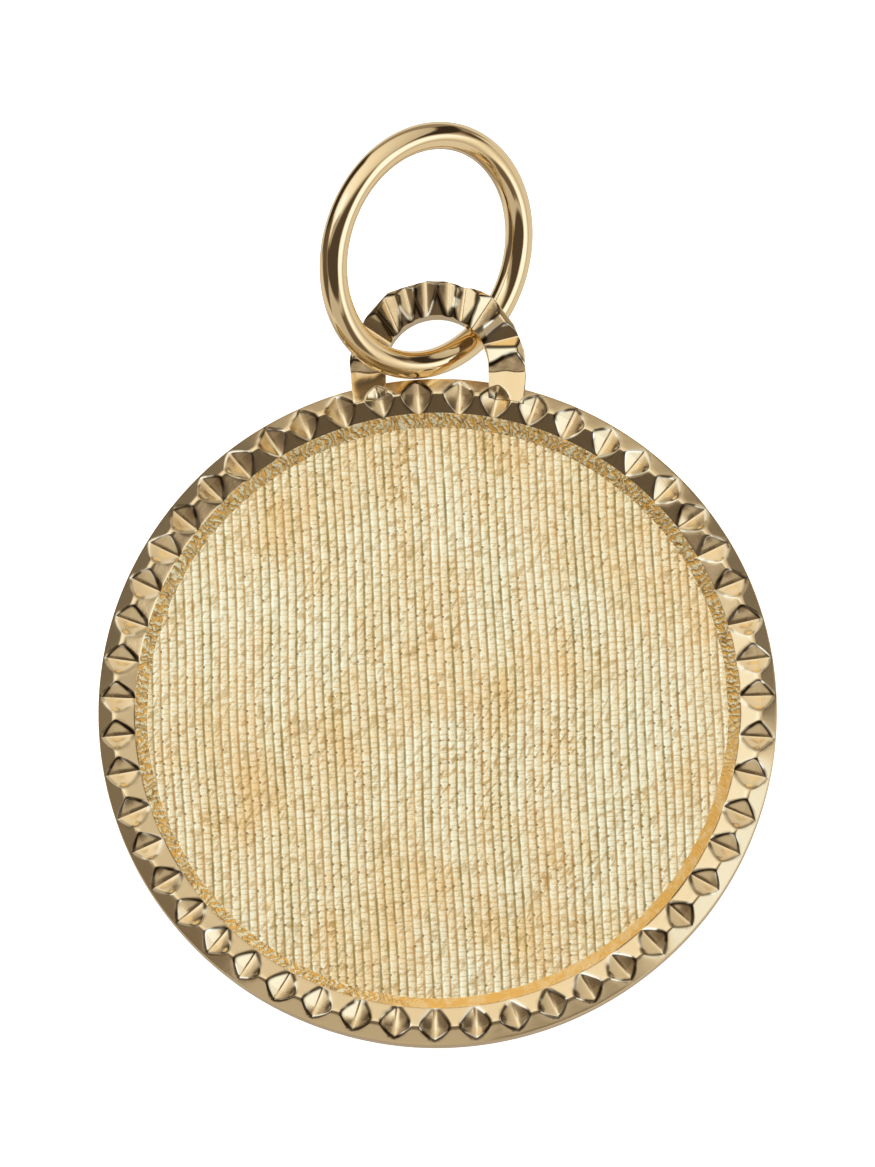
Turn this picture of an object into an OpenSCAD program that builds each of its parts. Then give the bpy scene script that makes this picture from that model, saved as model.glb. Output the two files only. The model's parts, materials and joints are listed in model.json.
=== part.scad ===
// A disc charm: a thin round plate inside a raised rim that is notched all
// round, a bail arch of the same notched band on top, and a round wire jump
// ring through the bail. The plate, the rim and the bail are one piece of
// metal. All sizes are millimetres.
//
// The charm is drawn in the plane of its disc, with the middle of the back
// face at the origin, the bail towards +Y and the front towards +Z. It is then
// leaned as it lies on a level surface, on its lower edge and the jump ring.

/* [Disc] */
// Diameter of the disc, over the rim
disc_d = 19; // [17:0.5:22]
// Thickness of the plate inside the rim
plate_t = 0.3; // [0.26:0.02:0.36]

/* [Rim] */
// Height of the rim's crest above the back face
crest_h = 0.84; // [0.8:0.02:0.9]
// Height of the straight outer wall, up to the outer bevel
wall_h = 0.46; // [0.4:0.02:0.5]
// Distance from the outer wall in to the crest
crest_in = 0.46; // [0.42:0.01:0.5]
// Width of the narrow flat along the crest
crest_flat = 0.04; // [0.02:0.01:0.06]
// Distance from the outer wall in to the foot of the inner bevel
bevel_in = 1.01; // [0.95:0.02:1.07]
// Height of the foot of the inner bevel
bevel_foot_h = 0.58; // [0.57:0.01:0.62]
// Distance from the outer wall in to the edge of the plate
panel_in = 1.38; // [1.32:0.02:1.46]

/* [Notches] */
// Number of notches round the rim
notch_count = 51; // [48:1:54]
// Turn of the first notch, clockwise from the middle of the bail
notch_turn = 3.85; // [3:0.05:4.5]
// Full angle of the V that each notch is cut with
notch_angle = 112; // [108:2:116]
// Height of a notch's level valley above the back face
valley_h = 0.54; // [0.52:0.01:0.55]

/* [Bail] */
// Distance from the middle of the disc to the centre of the arch
arch_y = 9.8; // [9.6:0.1:10]
// Radius of the arch, inside
arch_inner_r = 1.45; // [1.43:0.01:1.47]
// Radius of the arch, outside
arch_outer_r = 2.49; // [2.43:0.02:2.55]
// Radius of the arch, at the crest of the band
arch_crest_r = 2.27; // [2.2:0.01:2.3]
// Height of the bail's crest above the disc's back face
bail_crest_h = 1.05; // [1:0.01:1.1]
// Height of the back of the bail above the back face of the disc
bail_back_h = 0.17; // [0.16:0.01:0.18]
// Width of the worn-down bevel on the two back edges of the bail
bail_edge = 0.18; // [0.16:0.01:0.2]
// Height of the bail's straight outer wall, above the disc's back face
bail_wall_h = 0.82; // [0.8:0.01:0.86]
// Height of the bail's straight inner wall, above the disc's back face
bail_inner_h = 0.84; // [0.8:0.01:0.85]
// Height of the valleys across the arch
bail_valley_h = 0.8; // [0.76:0.01:0.82]
// Height of the valley across each leg
leg_valley_h = 0.7; // [0.66:0.01:0.74]
// Height of the legs where they run into the crest of the rim
leg_foot_h = 0.82; // [0.78:0.01:0.83]

/* [Jump ring] */
// Diameter of the jump ring at the middle of its wire
ring_d = 6.57; // [6.54:0.01:6.6]
// Diameter of the wire
wire_d = 0.78; // [0.7:0.01:0.8]
// Tilt of the ring out of the plane of the disc
ring_tilt = 46.7; // [46.4:0.1:47]
// Side that the ring dips to, clockwise from the bail's own direction
ring_dip = 120.2; // [120:0.1:121]

/* [Hidden] */
$fn = 128;
gold = [0.86, 0.72, 0.45];
pale_gold = [0.9, 0.79, 0.55];

disc_r = disc_d / 2;

// Middle of the jump ring, from the middle of the disc's back face
ring_middle = [-0.25, disc_r + 3.355, 2.01];

// Each valley across the arch: where it crosses the middle of the band and the
// way that it runs, both clockwise from the arch's top
arch_cuts = [
    [-80, -80], [-61, -55], [-41.5, -22], [-25, -14], [-9.6, -2],
    [9.2, 2], [21.5, 8], [40.4, 33], [68, 76],
];
// Distance of the valley across each leg, below the arch's centre
leg_valley = 0.15;

// How far a cutter reaches past the metal that it cuts
clearance = 0.12;

// The side of the disc that is raised, clockwise from the bail, and the lean.
// The lean is worked out so that the ring and the lower edge of the back face
// both touch a level surface: each pass puts the last lean into the next.
lean_turn = 10;
lean_way = [sin(lean_turn), cos(lean_turn), 0];
ring_axis = [sin(ring_dip) * sin(ring_tilt), cos(ring_dip) * sin(ring_tilt), cos(ring_tilt)];
function up_at(lean) = [lean_way.x * sin(lean), lean_way.y * sin(lean), cos(lean)];
function ring_reach(up) = norm(cross(ring_axis, up)) * ring_d / 2 + wire_d / 2;
function next_lean(lean) =
    asin((ring_reach(up_at(lean)) - ring_middle.z * cos(lean)) / (ring_middle * lean_way + disc_r));
function settled(lean, passes) = passes == 0 ? lean : settled(next_lean(lean), passes - 1);
lean = settled(0, 6);

// Leans the charm as it lies, about the middle of its back face
module laid() {
    rotate(a = lean, v = [lean_way.y, -lean_way.x, 0]) children();
}

// A V-shaped cutter whose lower edge runs along +X from above the origin
module v_cutter(length, valley_z, crest_z) {
    cutter_h = crest_z + clearance - valley_z;
    half_w = cutter_h * tan(notch_angle / 2);
    translate([0, 0, valley_z])
        rotate([90, 0, 90])
            linear_extrude(height = length)
                polygon([[0, 0], [half_w, cutter_h], [-half_w, cutter_h]]);
}

// Half section of the plate and the rim, from the middle out
module disc_section() {
    polygon([
        [0, 0],
        [disc_r, 0],
        [disc_r, wall_h],
        [disc_r - crest_in + crest_flat / 2, crest_h],
        [disc_r - crest_in - crest_flat / 2, crest_h],
        [disc_r - bevel_in, bevel_foot_h],
        [disc_r - panel_in, plate_t],
        [0, plate_t],
    ]);
}

// One notch across the rim, in the direction of +X
module rim_notch() {
    translate([disc_r - panel_in, 0, 0])
        v_cutter(panel_in + clearance, valley_h, crest_h);
}

module rim_notches() {
    for (k = [0 : notch_count - 1])
        rotate([0, 0, 90 - notch_turn - k * 360 / notch_count])
            rim_notch();
}

// Section of the bail's band, from the arch's centre out
module band_section() {
    polygon([
        [arch_inner_r, bail_back_h + bail_edge],
        [arch_inner_r + bail_edge, bail_back_h],
        [arch_outer_r - bail_edge, bail_back_h],
        [arch_outer_r, bail_back_h + bail_edge],
        [arch_outer_r, bail_wall_h],
        [arch_crest_r + crest_flat / 2, bail_crest_h],
        [arch_crest_r - crest_flat / 2, bail_crest_h],
        [arch_inner_r, bail_inner_h],
    ]);
}

// One straight leg, down from the arch's centre to inside the crest of the rim
module bail_leg() {
    leg_l = arch_y - disc_r + bevel_in;
    rotate([90, 0, 0])
        linear_extrude(height = leg_l)
            band_section();
}

module bail_band() {
    rotate_extrude(angle = 180) band_section();
    bail_leg();
    mirror([1, 0, 0]) bail_leg();
}

// One V cut over the arch, long enough for the band at its middle
module arch_cut(at, runs) {
    middle_r = (arch_inner_r + arch_outer_r) / 2;
    half_l = arch_outer_r - middle_r + 0.4;
    rotate([0, 0, 90 - at])
        translate([middle_r, 0, 0])
            rotate([0, 0, at - runs])
                translate([-half_l, 0, 0])
                    v_cutter(2 * half_l, bail_valley_h, bail_crest_h);
}

// The cut across both legs: one wall of a V, and a slope down from the rim
module leg_cutter() {
    reach = arch_outer_r + clearance;
    top = bail_crest_h + clearance;
    wall = (top - leg_valley_h) * tan(notch_angle / 2);
    crest_y = disc_r - crest_in - arch_y;
    translate([-reach, 0, 0])
        rotate([90, 0, 90])
            linear_extrude(height = 2 * reach)
                polygon([
                    [-leg_valley, leg_valley_h], [wall - leg_valley, top],
                    [-arch_y, top], [-arch_y, leg_foot_h], [crest_y, leg_foot_h],
                ]);
}

// The bail, cut round at the crest of the rim that it stands on
module bail() {
    difference() {
        translate([0, arch_y, 0])
            difference() {
                bail_band();
                for (cut = arch_cuts) arch_cut(cut[0], cut[1]);
                leg_cutter();
            }
        translate([0, 0, -clearance])
            cylinder(r = disc_r - crest_in, h = bail_crest_h + 2 * clearance);
    }
}

module charm_body() {
    color(gold)
        laid()
            difference() {
                union() {
                    rotate_extrude() disc_section();
                    bail();
                }
                rim_notches();
            }
}

module jump_ring() {
    color(pale_gold)
        laid()
            translate(ring_middle)
                rotate(a = ring_tilt, v = [-cos(ring_dip), sin(ring_dip), 0])
                    rotate_extrude()
                        translate([ring_d / 2, 0])
                            circle(d = wire_d);
}

charm_body();
jump_ring();
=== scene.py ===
# %% [markdown]
# # A gold disc charm
# The charm is a thin gold disc inside a raised rim that is notched all round, with a small
# notched bail on top and a round wire jump ring through it. It lies on a white table.
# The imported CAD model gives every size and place. This lesson adds what a goldsmith's
# gravers and polishing wheels leave on such a piece: crisp notches with softened edges,
# rows of engraved lines, and metal that mirrors the studio round it.

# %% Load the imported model
import math

import bpy
import numpy as np
from mathutils import Matrix, Vector
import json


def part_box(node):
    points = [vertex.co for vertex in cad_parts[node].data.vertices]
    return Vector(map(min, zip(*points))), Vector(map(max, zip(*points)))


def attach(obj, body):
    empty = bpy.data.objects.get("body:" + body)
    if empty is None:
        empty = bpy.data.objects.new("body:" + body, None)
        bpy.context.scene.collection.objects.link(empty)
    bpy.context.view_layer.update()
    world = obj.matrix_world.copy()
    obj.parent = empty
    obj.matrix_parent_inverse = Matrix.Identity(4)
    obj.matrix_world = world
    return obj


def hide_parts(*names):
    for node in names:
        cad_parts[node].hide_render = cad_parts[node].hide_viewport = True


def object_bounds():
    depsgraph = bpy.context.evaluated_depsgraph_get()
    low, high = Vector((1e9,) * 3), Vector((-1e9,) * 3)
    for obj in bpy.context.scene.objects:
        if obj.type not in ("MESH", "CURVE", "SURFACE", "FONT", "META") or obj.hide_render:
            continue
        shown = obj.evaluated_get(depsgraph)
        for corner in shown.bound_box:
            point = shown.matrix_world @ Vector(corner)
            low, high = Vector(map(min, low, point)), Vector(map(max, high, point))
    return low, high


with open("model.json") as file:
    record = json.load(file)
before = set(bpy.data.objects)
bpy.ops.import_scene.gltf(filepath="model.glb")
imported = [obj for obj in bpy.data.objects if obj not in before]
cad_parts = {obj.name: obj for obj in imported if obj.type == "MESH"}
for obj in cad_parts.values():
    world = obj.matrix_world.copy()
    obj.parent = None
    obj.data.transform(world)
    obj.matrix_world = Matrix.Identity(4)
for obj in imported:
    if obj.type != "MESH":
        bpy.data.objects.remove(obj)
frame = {"nodes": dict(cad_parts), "record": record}
cad_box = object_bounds()
print("nodes:", sorted(frame["nodes"]))

# %% [markdown]
# ## One frame for every piece
# The charm leans a little as it lies, because the jump ring props up its bail. Drawing in
# the plane of the disc is easier: there the back face is flat, the bail points along +Y,
# and sizes are round numbers of millimetres. One function then lays the points down, by
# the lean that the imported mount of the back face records.

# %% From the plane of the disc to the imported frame
MM = 0.001
mounts = {mount["name"]: mount for mount in frame["record"]["mounts"]}
face_up = -np.array(mounts["back_face"]["axis"], float)
face_up /= np.linalg.norm(face_up)
lean = math.acos(face_up[2])
lean_axis = np.cross([0.0, 0.0, 1.0], face_up) / math.sin(lean)


def laid(points):
    """Points in mm in the plane of the disc, leaned and scaled to metres.

    The turn is p cos(a) + (k x p) sin(a) + k (k . p) (1 - cos(a)) about the lean's axis k.
    """
    along = points @ lean_axis
    turned = points * math.cos(lean) + np.cross(lean_axis, points) * math.sin(lean)
    return (turned + along[..., None] * lean_axis * (1 - math.cos(lean))) * MM


print(f"the charm leans {math.degrees(lean):.2f} degrees")

# %% [markdown]
# ## The camera
# The view is almost straight down on the disc, 11 degrees towards its lower edge, from
# far off through a long lens, so that the disc looks nearly round. The camera is placed in
# the plane of the disc and laid down with it.

# %% Where the camera stands and where it looks
# Distances are in mm in the plane of the disc, sensor and lens in mm of the camera itself,
# and CLIP, the nearest and farthest things in view, in metres
VIEW_DISTANCE = 280.0
VIEW_SIDE = math.radians(1.6)
VIEW_DOWN = math.radians(11.0)
SENSOR = 36.0
LENS = 308.45
AIM_HEIGHT = 0.25
AIM_RISE = 3.59
CLIP = (0.01, 20.0)

to_camera = np.array([math.sin(VIEW_SIDE), -math.sin(VIEW_DOWN), 0.0])
to_camera[2] = math.sqrt(1 - to_camera @ to_camera)
right = np.cross([0.0, 1.0, 0.0], to_camera)
right /= np.linalg.norm(right)
up = np.cross(to_camera, right)
aim = np.array([0.0, 0.0, AIM_HEIGHT]) + AIM_RISE * up
eye = np.array([0.0, 0.0, AIM_HEIGHT]) + VIEW_DISTANCE * to_camera

# %% Camera
camera_data = bpy.data.cameras.new("camera")
camera_data.lens = LENS
camera_data.sensor_width = SENSOR
camera_data.clip_start, camera_data.clip_end = CLIP
camera = bpy.data.objects.new("camera", camera_data)
bpy.context.scene.collection.objects.link(camera)
gaze = laid(eye[None])[0] - laid(aim[None])[0]
gaze /= np.linalg.norm(gaze)
image_right = laid(right[None])[0] / MM
image_right -= gaze * (image_right @ gaze)
image_right /= np.linalg.norm(image_right)
image_up = np.cross(gaze, image_right)
turn = Matrix([list(row) for row in np.stack([image_right, image_up, gaze], 1)]).to_4x4()
camera.matrix_world = Matrix.Translation(Vector(laid(eye[None])[0])) @ turn
bpy.context.scene.camera = camera
print("camera at", [round(v, 4) for v in camera.matrix_world.translation])

# %% [markdown]
# ## Meshes from grids
# Every new piece is a surface: a grid of points worked out at once with numpy, joined by
# four-cornered faces. A row or column that closes on itself shares its first points, and
# a fan of triangles closes a pole, so that each piece is one watertight skin.

# %% Grids, fans and the mesh


def grid_quads(rows, columns, ring=False, loop=False):
    """Corner numbers of a grid's quads; ring joins the last column to the first, loop the rows."""
    down, across = np.meshgrid(
        np.arange(rows if loop else rows - 1),
        np.arange(columns if ring else columns - 1),
        indexing="ij",
    )
    below = (down + 1) % rows * columns
    beside = (across + 1) % columns
    start = down * columns
    corners = [start + across, start + beside, below + beside, below + across]
    return np.stack(corners, -1).reshape(-1, 4)


def fan(loop, hub):
    """Triangles from each step of a closed loop of points to one hub point."""
    return np.stack([loop, np.roll(loop, -1), np.full_like(loop, hub)], -1)


def volume(points, triangles):
    """Six times the volume inside the triangles: the sum of a . (b x c) over them."""
    a, b, c = (points[triangles[:, k]] for k in range(3))
    return np.einsum("ij,ij->", a, np.cross(b, c))


def make_piece(name, points, quads, triangles, replaced):
    """A smooth mesh object with its faces outwards, riding on the charm's body."""
    points = laid(points)
    halves = np.concatenate([quads[:, [0, 1, 2]], quads[:, [0, 2, 3]], triangles])
    if volume(points, halves) < 0:
        quads = quads[:, ::-1]
        triangles = triangles[:, ::-1]
    corners = np.concatenate([quads.ravel(), triangles.ravel()])
    sizes = np.concatenate([np.full(len(quads), 4), np.full(len(triangles), 3)])
    mesh = bpy.data.meshes.new(name)
    mesh.vertices.add(len(points))
    mesh.vertices.foreach_set("co", points.astype(np.float32).ravel())
    mesh.loops.add(len(corners))
    mesh.loops.foreach_set("vertex_index", corners.astype(np.int32))
    mesh.polygons.add(len(sizes))
    mesh.polygons.foreach_set("loop_start", (np.cumsum(sizes) - sizes).astype(np.int32))
    mesh.update(calc_edges=True)
    mesh.validate()
    mesh.shade_smooth()
    piece = bpy.data.objects.new(name, mesh)
    bpy.context.scene.collection.objects.link(piece)
    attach(piece, "root")
    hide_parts(replaced)
    print(f"{name}: {len(halves):,} triangles")
    return piece


# %% [markdown]
# ## Heights that meet softly
# A notch is where a V-shaped graver took metal away, so the surface is the lower of two
# heights, the rim's own section and the V. A plain minimum would leave a knife edge. The
# polishing wheel rounds it, and a smooth minimum does the same: it follows the lower
# height and bends from one to the other over a few hundredths of a millimetre.

# %% Soft minimum and hand wobble
EDGE_SOFT = 0.034
VALLEY_SOFT = 0.034
# Distance from a valley at which the walls get steeper, and their slope there
NOTCH_FLAT = 0.39
STEEP_SLOPE = math.tan(math.radians(50))


def softer_of(a, b, soft=EDGE_SOFT):
    """Half of a + b less the root of (a - b) squared plus soft squared."""
    return (a + b - np.sqrt((a - b) ** 2 + soft**2)) / 2


def v_height(sideways, valley, slope):
    """Height over a notch: a V whose foot is rounded, and steeper walls further out.

    The V is slope times the root of d^2 + soft^2, less soft. The steep walls start at the
    distance NOTCH_FLAT. The higher of the two counts: half of a + b plus the root of
    (a - b)^2 + soft^2.
    """
    vee = slope * (np.sqrt(sideways**2 + VALLEY_SOFT**2) - VALLEY_SOFT)
    wall = slope * NOTCH_FLAT + STEEP_SLOPE * (np.abs(sideways) - NOTCH_FLAT)
    return valley + (vee + wall + np.sqrt((vee - wall) ** 2 + EDGE_SOFT**2)) / 2


def wobble(seed, angle, waves, low=2):
    """A hand's slow wander round a circle: a sum of sines of low and more waves, seeded."""
    draw = np.random.default_rng(seed)
    phases = draw.uniform(0, 2 * math.pi, waves)
    sizes = draw.uniform(0.4, 1.0, waves)
    orders = np.arange(low, low + waves)
    waves_at = np.sin(np.asarray(angle)[..., None] * orders + phases) * sizes
    return waves_at.sum(-1) / sizes.sum()


def rounded_corners(corners, radii, steps):
    """A polyline whose inner corners are replaced by short parabolas.

    Each corner p becomes (1 - s)^2 a + 2 s (1 - s) p + s^2 b, with a and b on its two sides.
    """
    corners = np.array(corners, float)
    s = np.linspace(0, 1, steps)[:, None]
    line = [corners[:1]]
    for before, here, after, radius in zip(corners, corners[1:], corners[2:], radii):
        a = here + (before - here) * radius / np.linalg.norm(before - here)
        b = here + (after - here) * radius / np.linalg.norm(after - here)
        line.append((1 - s) ** 2 * a + 2 * s * (1 - s) * here + s**2 * b)
    line.append(corners[-1:])
    return np.concatenate(line)


def even_steps(line, longest):
    """The polyline with more points, so that no step is longer than longest."""
    made = [line[:1]]
    for a, b in zip(line, line[1:]):
        count = max(1, math.ceil(np.linalg.norm(b - a) / longest))
        made.append(a + (b - a) * np.linspace(0, 1, count + 1)[1:, None])
    return np.concatenate(made)


# %% [markdown]
# ## The notched rim
# The rim is a raised band with a bevel on each side of a narrow crest. 51 notches are cut
# across it. A goldsmith could turn the band and cut each notch with a graver, or cast it
# from a carved wax. Here it is one height over radius and angle. The columns of the grid
# gather along both edges of every notch, so that the soft edges get clean faces.

# %% Section of the rim
node_low, node_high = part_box("charm_body")
DISC_R = (node_high.x - node_low.x) / 2 / MM
WALL_H = 0.53
CREST_R = DISC_R - 0.475
CREST_H = 0.87
FOOT_R = DISC_R - 1.02
FOOT_H = 0.61
PLATE_R = DISC_R - 1.38
PLATE_H = 0.31
# Height of the bed that the engraved plate lies in
BED_H = 0.2
CREST_ROUND = 0.1
CORNER_STEPS = 5
RIM_STEP = 0.06
# The outer wall and the chased wall are left uncut below this height
UNCUT_H = WALL_H - 0.1

# The crest is drawn a little high and the wall's foot a little low, because the corners
# are rounded and the plate covers the foot
rim_corners = [
    (DISC_R - 0.5, 0.0), (DISC_R, 0.0), (DISC_R, WALL_H), (CREST_R, CREST_H + 0.02),
    (FOOT_R, FOOT_H), (PLATE_R, PLATE_H - 0.02), (PLATE_R - 0.15, BED_H), (PLATE_R - 0.6, BED_H),
]
rim_radii = [0.05, 0.035, CREST_ROUND, 0.04, 0.03, 0.03]
rim_line = even_steps(rounded_corners(rim_corners, rim_radii, CORNER_STEPS), RIM_STEP)
print("rows across the rim:", len(rim_line))

# %% Notches round the rim
NOTCHES = 51
NOTCH_TURN = math.radians(3.85)
# Height of a valley under the crest, and how it rises towards the outer wall
VALLEY_H = 0.56
VALLEY_RISE = 0.06
# The walls' slope over the legs of the bail, and their tilt round the rim in degrees. At
# the disc's right side TILT_CHANGE makes the left wall steeper and the right one flatter,
# and at its left side the other way round
SIDE_SLOPE = math.tan(math.radians(36))
WALL_TILT = 34
TILT_CHANGE = 4
# How far each notch strays from an even one: a slow swing, and the hand's own luck
SWING = math.radians(0.55)
SWING_FROM = math.radians(160)
STRAY_TURN = math.radians(0.3)
STRAY_VALLEY = 0.02
STRAY_RISE = 0.03
STRAY_TILT = 1.2
STRAY_YAW = 0.08

draw = np.random.default_rng(51)
pitch = 2 * math.pi / NOTCHES
notch_at = NOTCH_TURN + pitch * np.arange(NOTCHES)
notch_at = notch_at + SWING * np.sin(notch_at - SWING_FROM)
notch_at = notch_at + STRAY_TURN * draw.uniform(-1, 1, NOTCHES)
valley_h = VALLEY_H + STRAY_VALLEY * draw.uniform(-1, 1, NOTCHES)
valley_rise = VALLEY_RISE + STRAY_RISE * draw.uniform(-1, 1, NOTCHES)
tilt_change = TILT_CHANGE * np.sin(notch_at)
left_slope = np.tan(np.radians(WALL_TILT + tilt_change + draw.uniform(-STRAY_TILT, STRAY_TILT, NOTCHES)))
right_slope = np.tan(np.radians(WALL_TILT - tilt_change + draw.uniform(-STRAY_TILT, STRAY_TILT, NOTCHES)))
cutter_yaw = STRAY_YAW * draw.uniform(-1, 1, NOTCHES)
print("distance between two notches:", round(pitch * CREST_R, 3), "mm")

# %% Heights of the rim
# Bow of a valley, in mm for each mm squared: inside the crest, outside it at the bottom of
# the disc, and outside it at the sides and the top, where the notches run out to the wall
BOW_IN = 0.235
BOW_OUT = 0.6
BOW_AT_SIDES = 0.1
LEAST_WIDTH = 0.02
# Fractions of the way from a valley to its edge, and from that edge to the next notch
VALLEY_TO_EDGE = np.array([0.04, 0.15, 0.35, 0.55, 0.72, 0.84, 0.92, 0.97, 1.0])
EDGE_TO_NEXT = np.array([0.15, 0.35, 0.65, 1.0])
# An edge keeps this share of the room between two notches
ROOM_SHARE = 0.97
# Lines painted along the edges of the cuts, as dark and bright painted reflections: the drop at which they
# fade, and what the lower edges show
LINE_DROP = 0.055
LOWER_SHARE = 0.5
LOWER_SOFT = 0.12
HIGH_UP = 9.0
RIM_WANDER = 0.008


def half_width(depth, slope):
    """Distance from a notch's valley to its edge: on the V, or on the steep wall beyond it."""
    beyond = NOTCH_FLAT + (depth - slope * NOTCH_FLAT) / STEEP_SLOPE
    return np.maximum(np.minimum(depth / slope, beyond), LEAST_WIDTH)


def rim_surface():
    """Points of the rim as rows of the section by columns round it, and their share in a cut's edge.

    Height is the soft minimum of the section's height, the notch at that angle and the
    notches on both sides of it. A point at radius r and angle a, clockwise from +Y, is
    (r sin a, r cos a). With d the drop from the section to the lowest cut, the share is
    exp(-(d / LINE_DROP)^4). On the lower half of a notch it is LOWER_SHARE of that, and
    more towards the bottom of the disc.
    """
    r = rim_line[:, :1]
    section = rim_line[:, 1:]
    outward = r - CREST_R
    bow_out = BOW_AT_SIDES + (BOW_OUT - BOW_AT_SIDES) * np.clip(-np.cos(notch_at), 0, 1) ** 2
    valley = valley_h + valley_rise * outward + np.where(outward > 0, bow_out, BOW_IN) * outward**2
    centre = notch_at + cutter_yaw * (r - CREST_R) / r
    after = (centre + np.roll(centre, -1, 1) + 2 * math.pi * (np.arange(NOTCHES) == NOTCHES - 1)) / 2
    before = np.roll(after, 1, 1) - 2 * math.pi * (np.arange(NOTCHES) == 0)
    wide_left = half_width(section - valley, left_slope) / r
    wide_right = half_width(section - valley, right_slope) / r
    wide_left = np.minimum(wide_left, (centre - before) * ROOM_SHARE)[..., None]
    wide_right = np.minimum(wide_right, (after - centre) * ROOM_SHARE)[..., None]
    left_land = (centre - before)[..., None] - wide_left
    right_land = (after - centre)[..., None] - wide_right
    angle = centre[..., None] + np.concatenate([
        -wide_left - left_land * EDGE_TO_NEXT[-2::-1],
        -wide_left * VALLEY_TO_EDGE[::-1],
        np.zeros_like(wide_left),
        wide_right * VALLEY_TO_EDGE,
        wide_right + right_land * EDGE_TO_NEXT,
    ], -1)
    height = np.broadcast_to(section[..., None], angle.shape)
    lowest_cut = np.full(angle.shape, HIGH_UP)
    for step in (0, 1, -1):
        nearby = np.roll(centre, -step, 1)[..., None]
        apart = (angle - nearby + math.pi) % (2 * math.pi) - math.pi
        left, right = (np.roll(slopes, -step)[:, None] for slopes in (left_slope, right_slope))
        slope = np.where(apart < 0, left, right)
        cut = v_height(apart * r[..., None], np.roll(valley, -step, 1)[..., None], slope)
        height = softer_of(height, cut)
        lowest_cut = np.minimum(lowest_cut, cut)
    # The share of each point in the painted edge reflections: less on the lower half of a notch, more
    # towards the bottom of the disc
    edges = np.exp(-(((section[..., None] - lowest_cut) / LINE_DROP) ** 4)) * (r > FOOT_R)[..., None]
    above = r[..., None] * np.cos(angle) - CREST_R * np.cos(centre)[..., None]
    lower_share = LOWER_SHARE + (1 - LOWER_SHARE) * np.clip(-np.cos(centre), 0, 1)[..., None] ** 2
    edges = edges * (lower_share + (1 - lower_share) * np.clip(0.5 + above / LOWER_SOFT, 0, 1))
    height = np.where(section[..., None] > UNCUT_H, height, section[..., None])
    angle = angle.reshape(len(rim_line), -1)
    height = height.reshape(len(rim_line), -1)
    radius = r + RIM_WANDER * wobble(3, angle, 9, 5) * (r > PLATE_R)
    return np.stack([radius * np.sin(angle), radius * np.cos(angle), height], -1), edges.ravel()


# %% The rim as a mesh
rim_grid, rim_edges = rim_surface()
rows, columns = rim_grid.shape[:2]
rim_points = np.concatenate([rim_grid.reshape(-1, 3), [[0, 0, 0], [0, 0, BED_H]]])
edge = np.arange(columns)
notched_rim = make_piece(
    "notched_rim",
    rim_points,
    grid_quads(rows, columns, ring=True),
    np.concatenate([fan(edge[::-1], rows * columns), fan(edge + (rows - 1) * columns, rows * columns + 1)]),
    "charm_body",
)


def mark_edges(piece, shares):
    """Keeps each point's share in a cut's edge, where the gold gets its painted edge reflections, as an
    attribute of the mesh.
    """
    marks = piece.data.attributes.new("edges", "FLOAT", "POINT")
    values = np.zeros(len(piece.data.vertices), np.float32)
    values[: len(shares)] = shares
    marks.data.foreach_set("value", values)


mark_edges(notched_rim, rim_edges)

# %% [markdown]
# ## The engraved plate
# The face inside the rim is covered with fine lines, cut side by side with a liner graver
# and nearly straight up and down. Each line is a narrow groove and the metal between two
# is a low, broad ridge. The grid's columns follow the lines: some in the groove, some on
# its shoulders and some on the ridge. The whole pattern is turned by the small lean that
# the engraver's hand had.

# %% Lines across the plate
LINE_PITCH = 0.24
LINE_DEPTH = 0.017
LINE_WIDTH = 0.034
LINE_LEAN = math.radians(2.7)
# The plate reaches under the foot of the wall and a little into the bed
PLATE_EDGE_R = PLATE_R + 0.13
PLATE_LOW_H = BED_H - 0.01
EDGE_MARGIN = 0.02
# Where the columns stand between one groove and the next, as fractions of the pitch
COLUMNS_AT = np.array([0.0, 0.12, 0.28, 0.5, 0.72, 0.88])
PLATE_ROWS = 232
CROWN = 0.007
# Slow waves along a line, each with its size and its turn in radians a mm: of the stroke's
# pressure, as a share of the depth, and of the ridge's height in mm
PRESSURE = 0.75
PRESSURE_WAVES = [(0.2, 0.9), (0.15, 2.3)]
LIFT_WAVES = [(0.004, 1.3), (0.003, 3.1)]
# Slow waves that the lines sway by: size in mm, turn a mm up and across, and start
SWAY_WAVES = [(0.05, 0.42, 0.25, 0.0), (0.03, 0.9, -0.5, 2.0)]


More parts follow.
